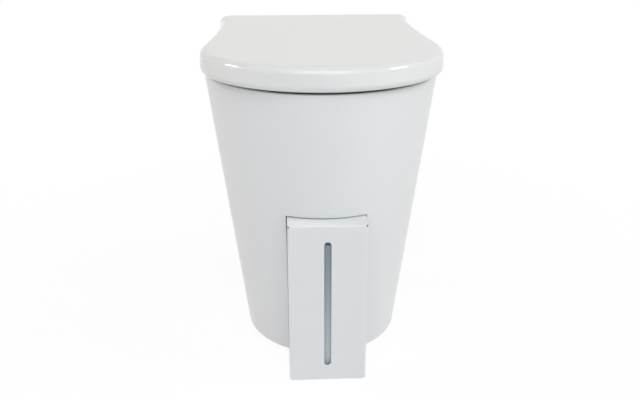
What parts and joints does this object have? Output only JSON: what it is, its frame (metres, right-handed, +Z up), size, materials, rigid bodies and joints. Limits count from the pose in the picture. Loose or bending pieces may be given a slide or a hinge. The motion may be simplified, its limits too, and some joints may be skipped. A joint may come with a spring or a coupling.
{
  "type": "urine-diverting toilet",
  "caption": "Free-standing urine-diverting toilet: tapered white steel stand, wrap-over hinged seat and lid, diverting insert, solids bucket and pull-out urine canister box.",
  "frame": {"origin": "on the floor, in the middle of the toilet's overall footprint with its lid shut", "axes": "+Z up, the front with the urine box faces -Y, +X to the right as seen from the front"},
  "size_m": [0.35, 0.447, 0.4677],
  "materials": {
    "white_powder_coat": "satin white powder coat on sheet steel",
    "white_duroplast": "glossy white moulded duroplast",
    "insert_plastic": "glossy dark grey moulded plastic",
    "bucket_plastic": "matte dark grey moulded plastic",
    "canister_plastic": "milky translucent blow-moulded polyethylene",
    "hinge_plastic": "satin white moulded nylon",
    "grip_plastic": "matte black moulded plastic",
    "black_rubber": "matte black rubber",
    "white_rubber": "soft white bumper rubber",
    "zinc_steel": "bright zinc plated steel"
  },
  "bodies": {
    "stand": {"body_shell": "white_powder_coat", "base_plate": "white_powder_coat", "rubber_feet": "black_rubber", "foot_screws": "zinc_steel", "foot_nuts": "zinc_steel", "diverter_insert": "insert_plastic", "drain_gasket": "black_rubber", "drain_spout": "insert_plastic", "solids_bucket": "bucket_plastic", "hinge_posts": "hinge_plastic", "hinge_pins": "zinc_steel", "hinge_studs": "zinc_steel", "hinge_washers": "black_rubber", "hinge_wing_nuts": "hinge_plastic", "box_guides": "white_powder_coat", "guide_screws": "zinc_steel"},
    "seat": {"seat_ring": "white_duroplast", "seat_hinge_bushes": "hinge_plastic", "seat_bumpers": "white_rubber"},
    "lid": {"lid": "white_duroplast", "lid_hinge_bushes": "hinge_plastic", "lid_bumpers": "white_rubber"},
    "urine_box": {"front_box": "white_powder_coat", "box_tray": "white_powder_coat", "tray_rivets": "zinc_steel", "box_glides": "hinge_plastic", "urine_canister": "canister_plastic"},
    "bail": {"bucket_bail": "zinc_steel", "bail_grip": "grip_plastic"}
  },
  "joints": [
    {"name": "seat_hinge", "type": "hinge", "parent": "stand", "child": "seat", "pos_m": [0, 0.2115, 0.449], "axis": [-1, 0, 0], "range_deg": [0, 92]},
    {"name": "lid_hinge", "type": "hinge", "parent": "seat", "child": "lid", "pos_m": [0, 0.2115, 0.449], "axis": [-1, 0, 0], "range_deg": [0, 98]},
    {"name": "box_slide", "type": "slide", "parent": "stand", "child": "urine_box", "axis": [0, -1, 0], "range_m": [0, 0.15]},
    {"name": "bail_swing", "type": "hinge", "parent": "stand", "child": "bail", "pos_m": [0, 0.0405, 0.283], "axis": [1, 0, 0], "range_deg": [0, 16]}
  ]
}
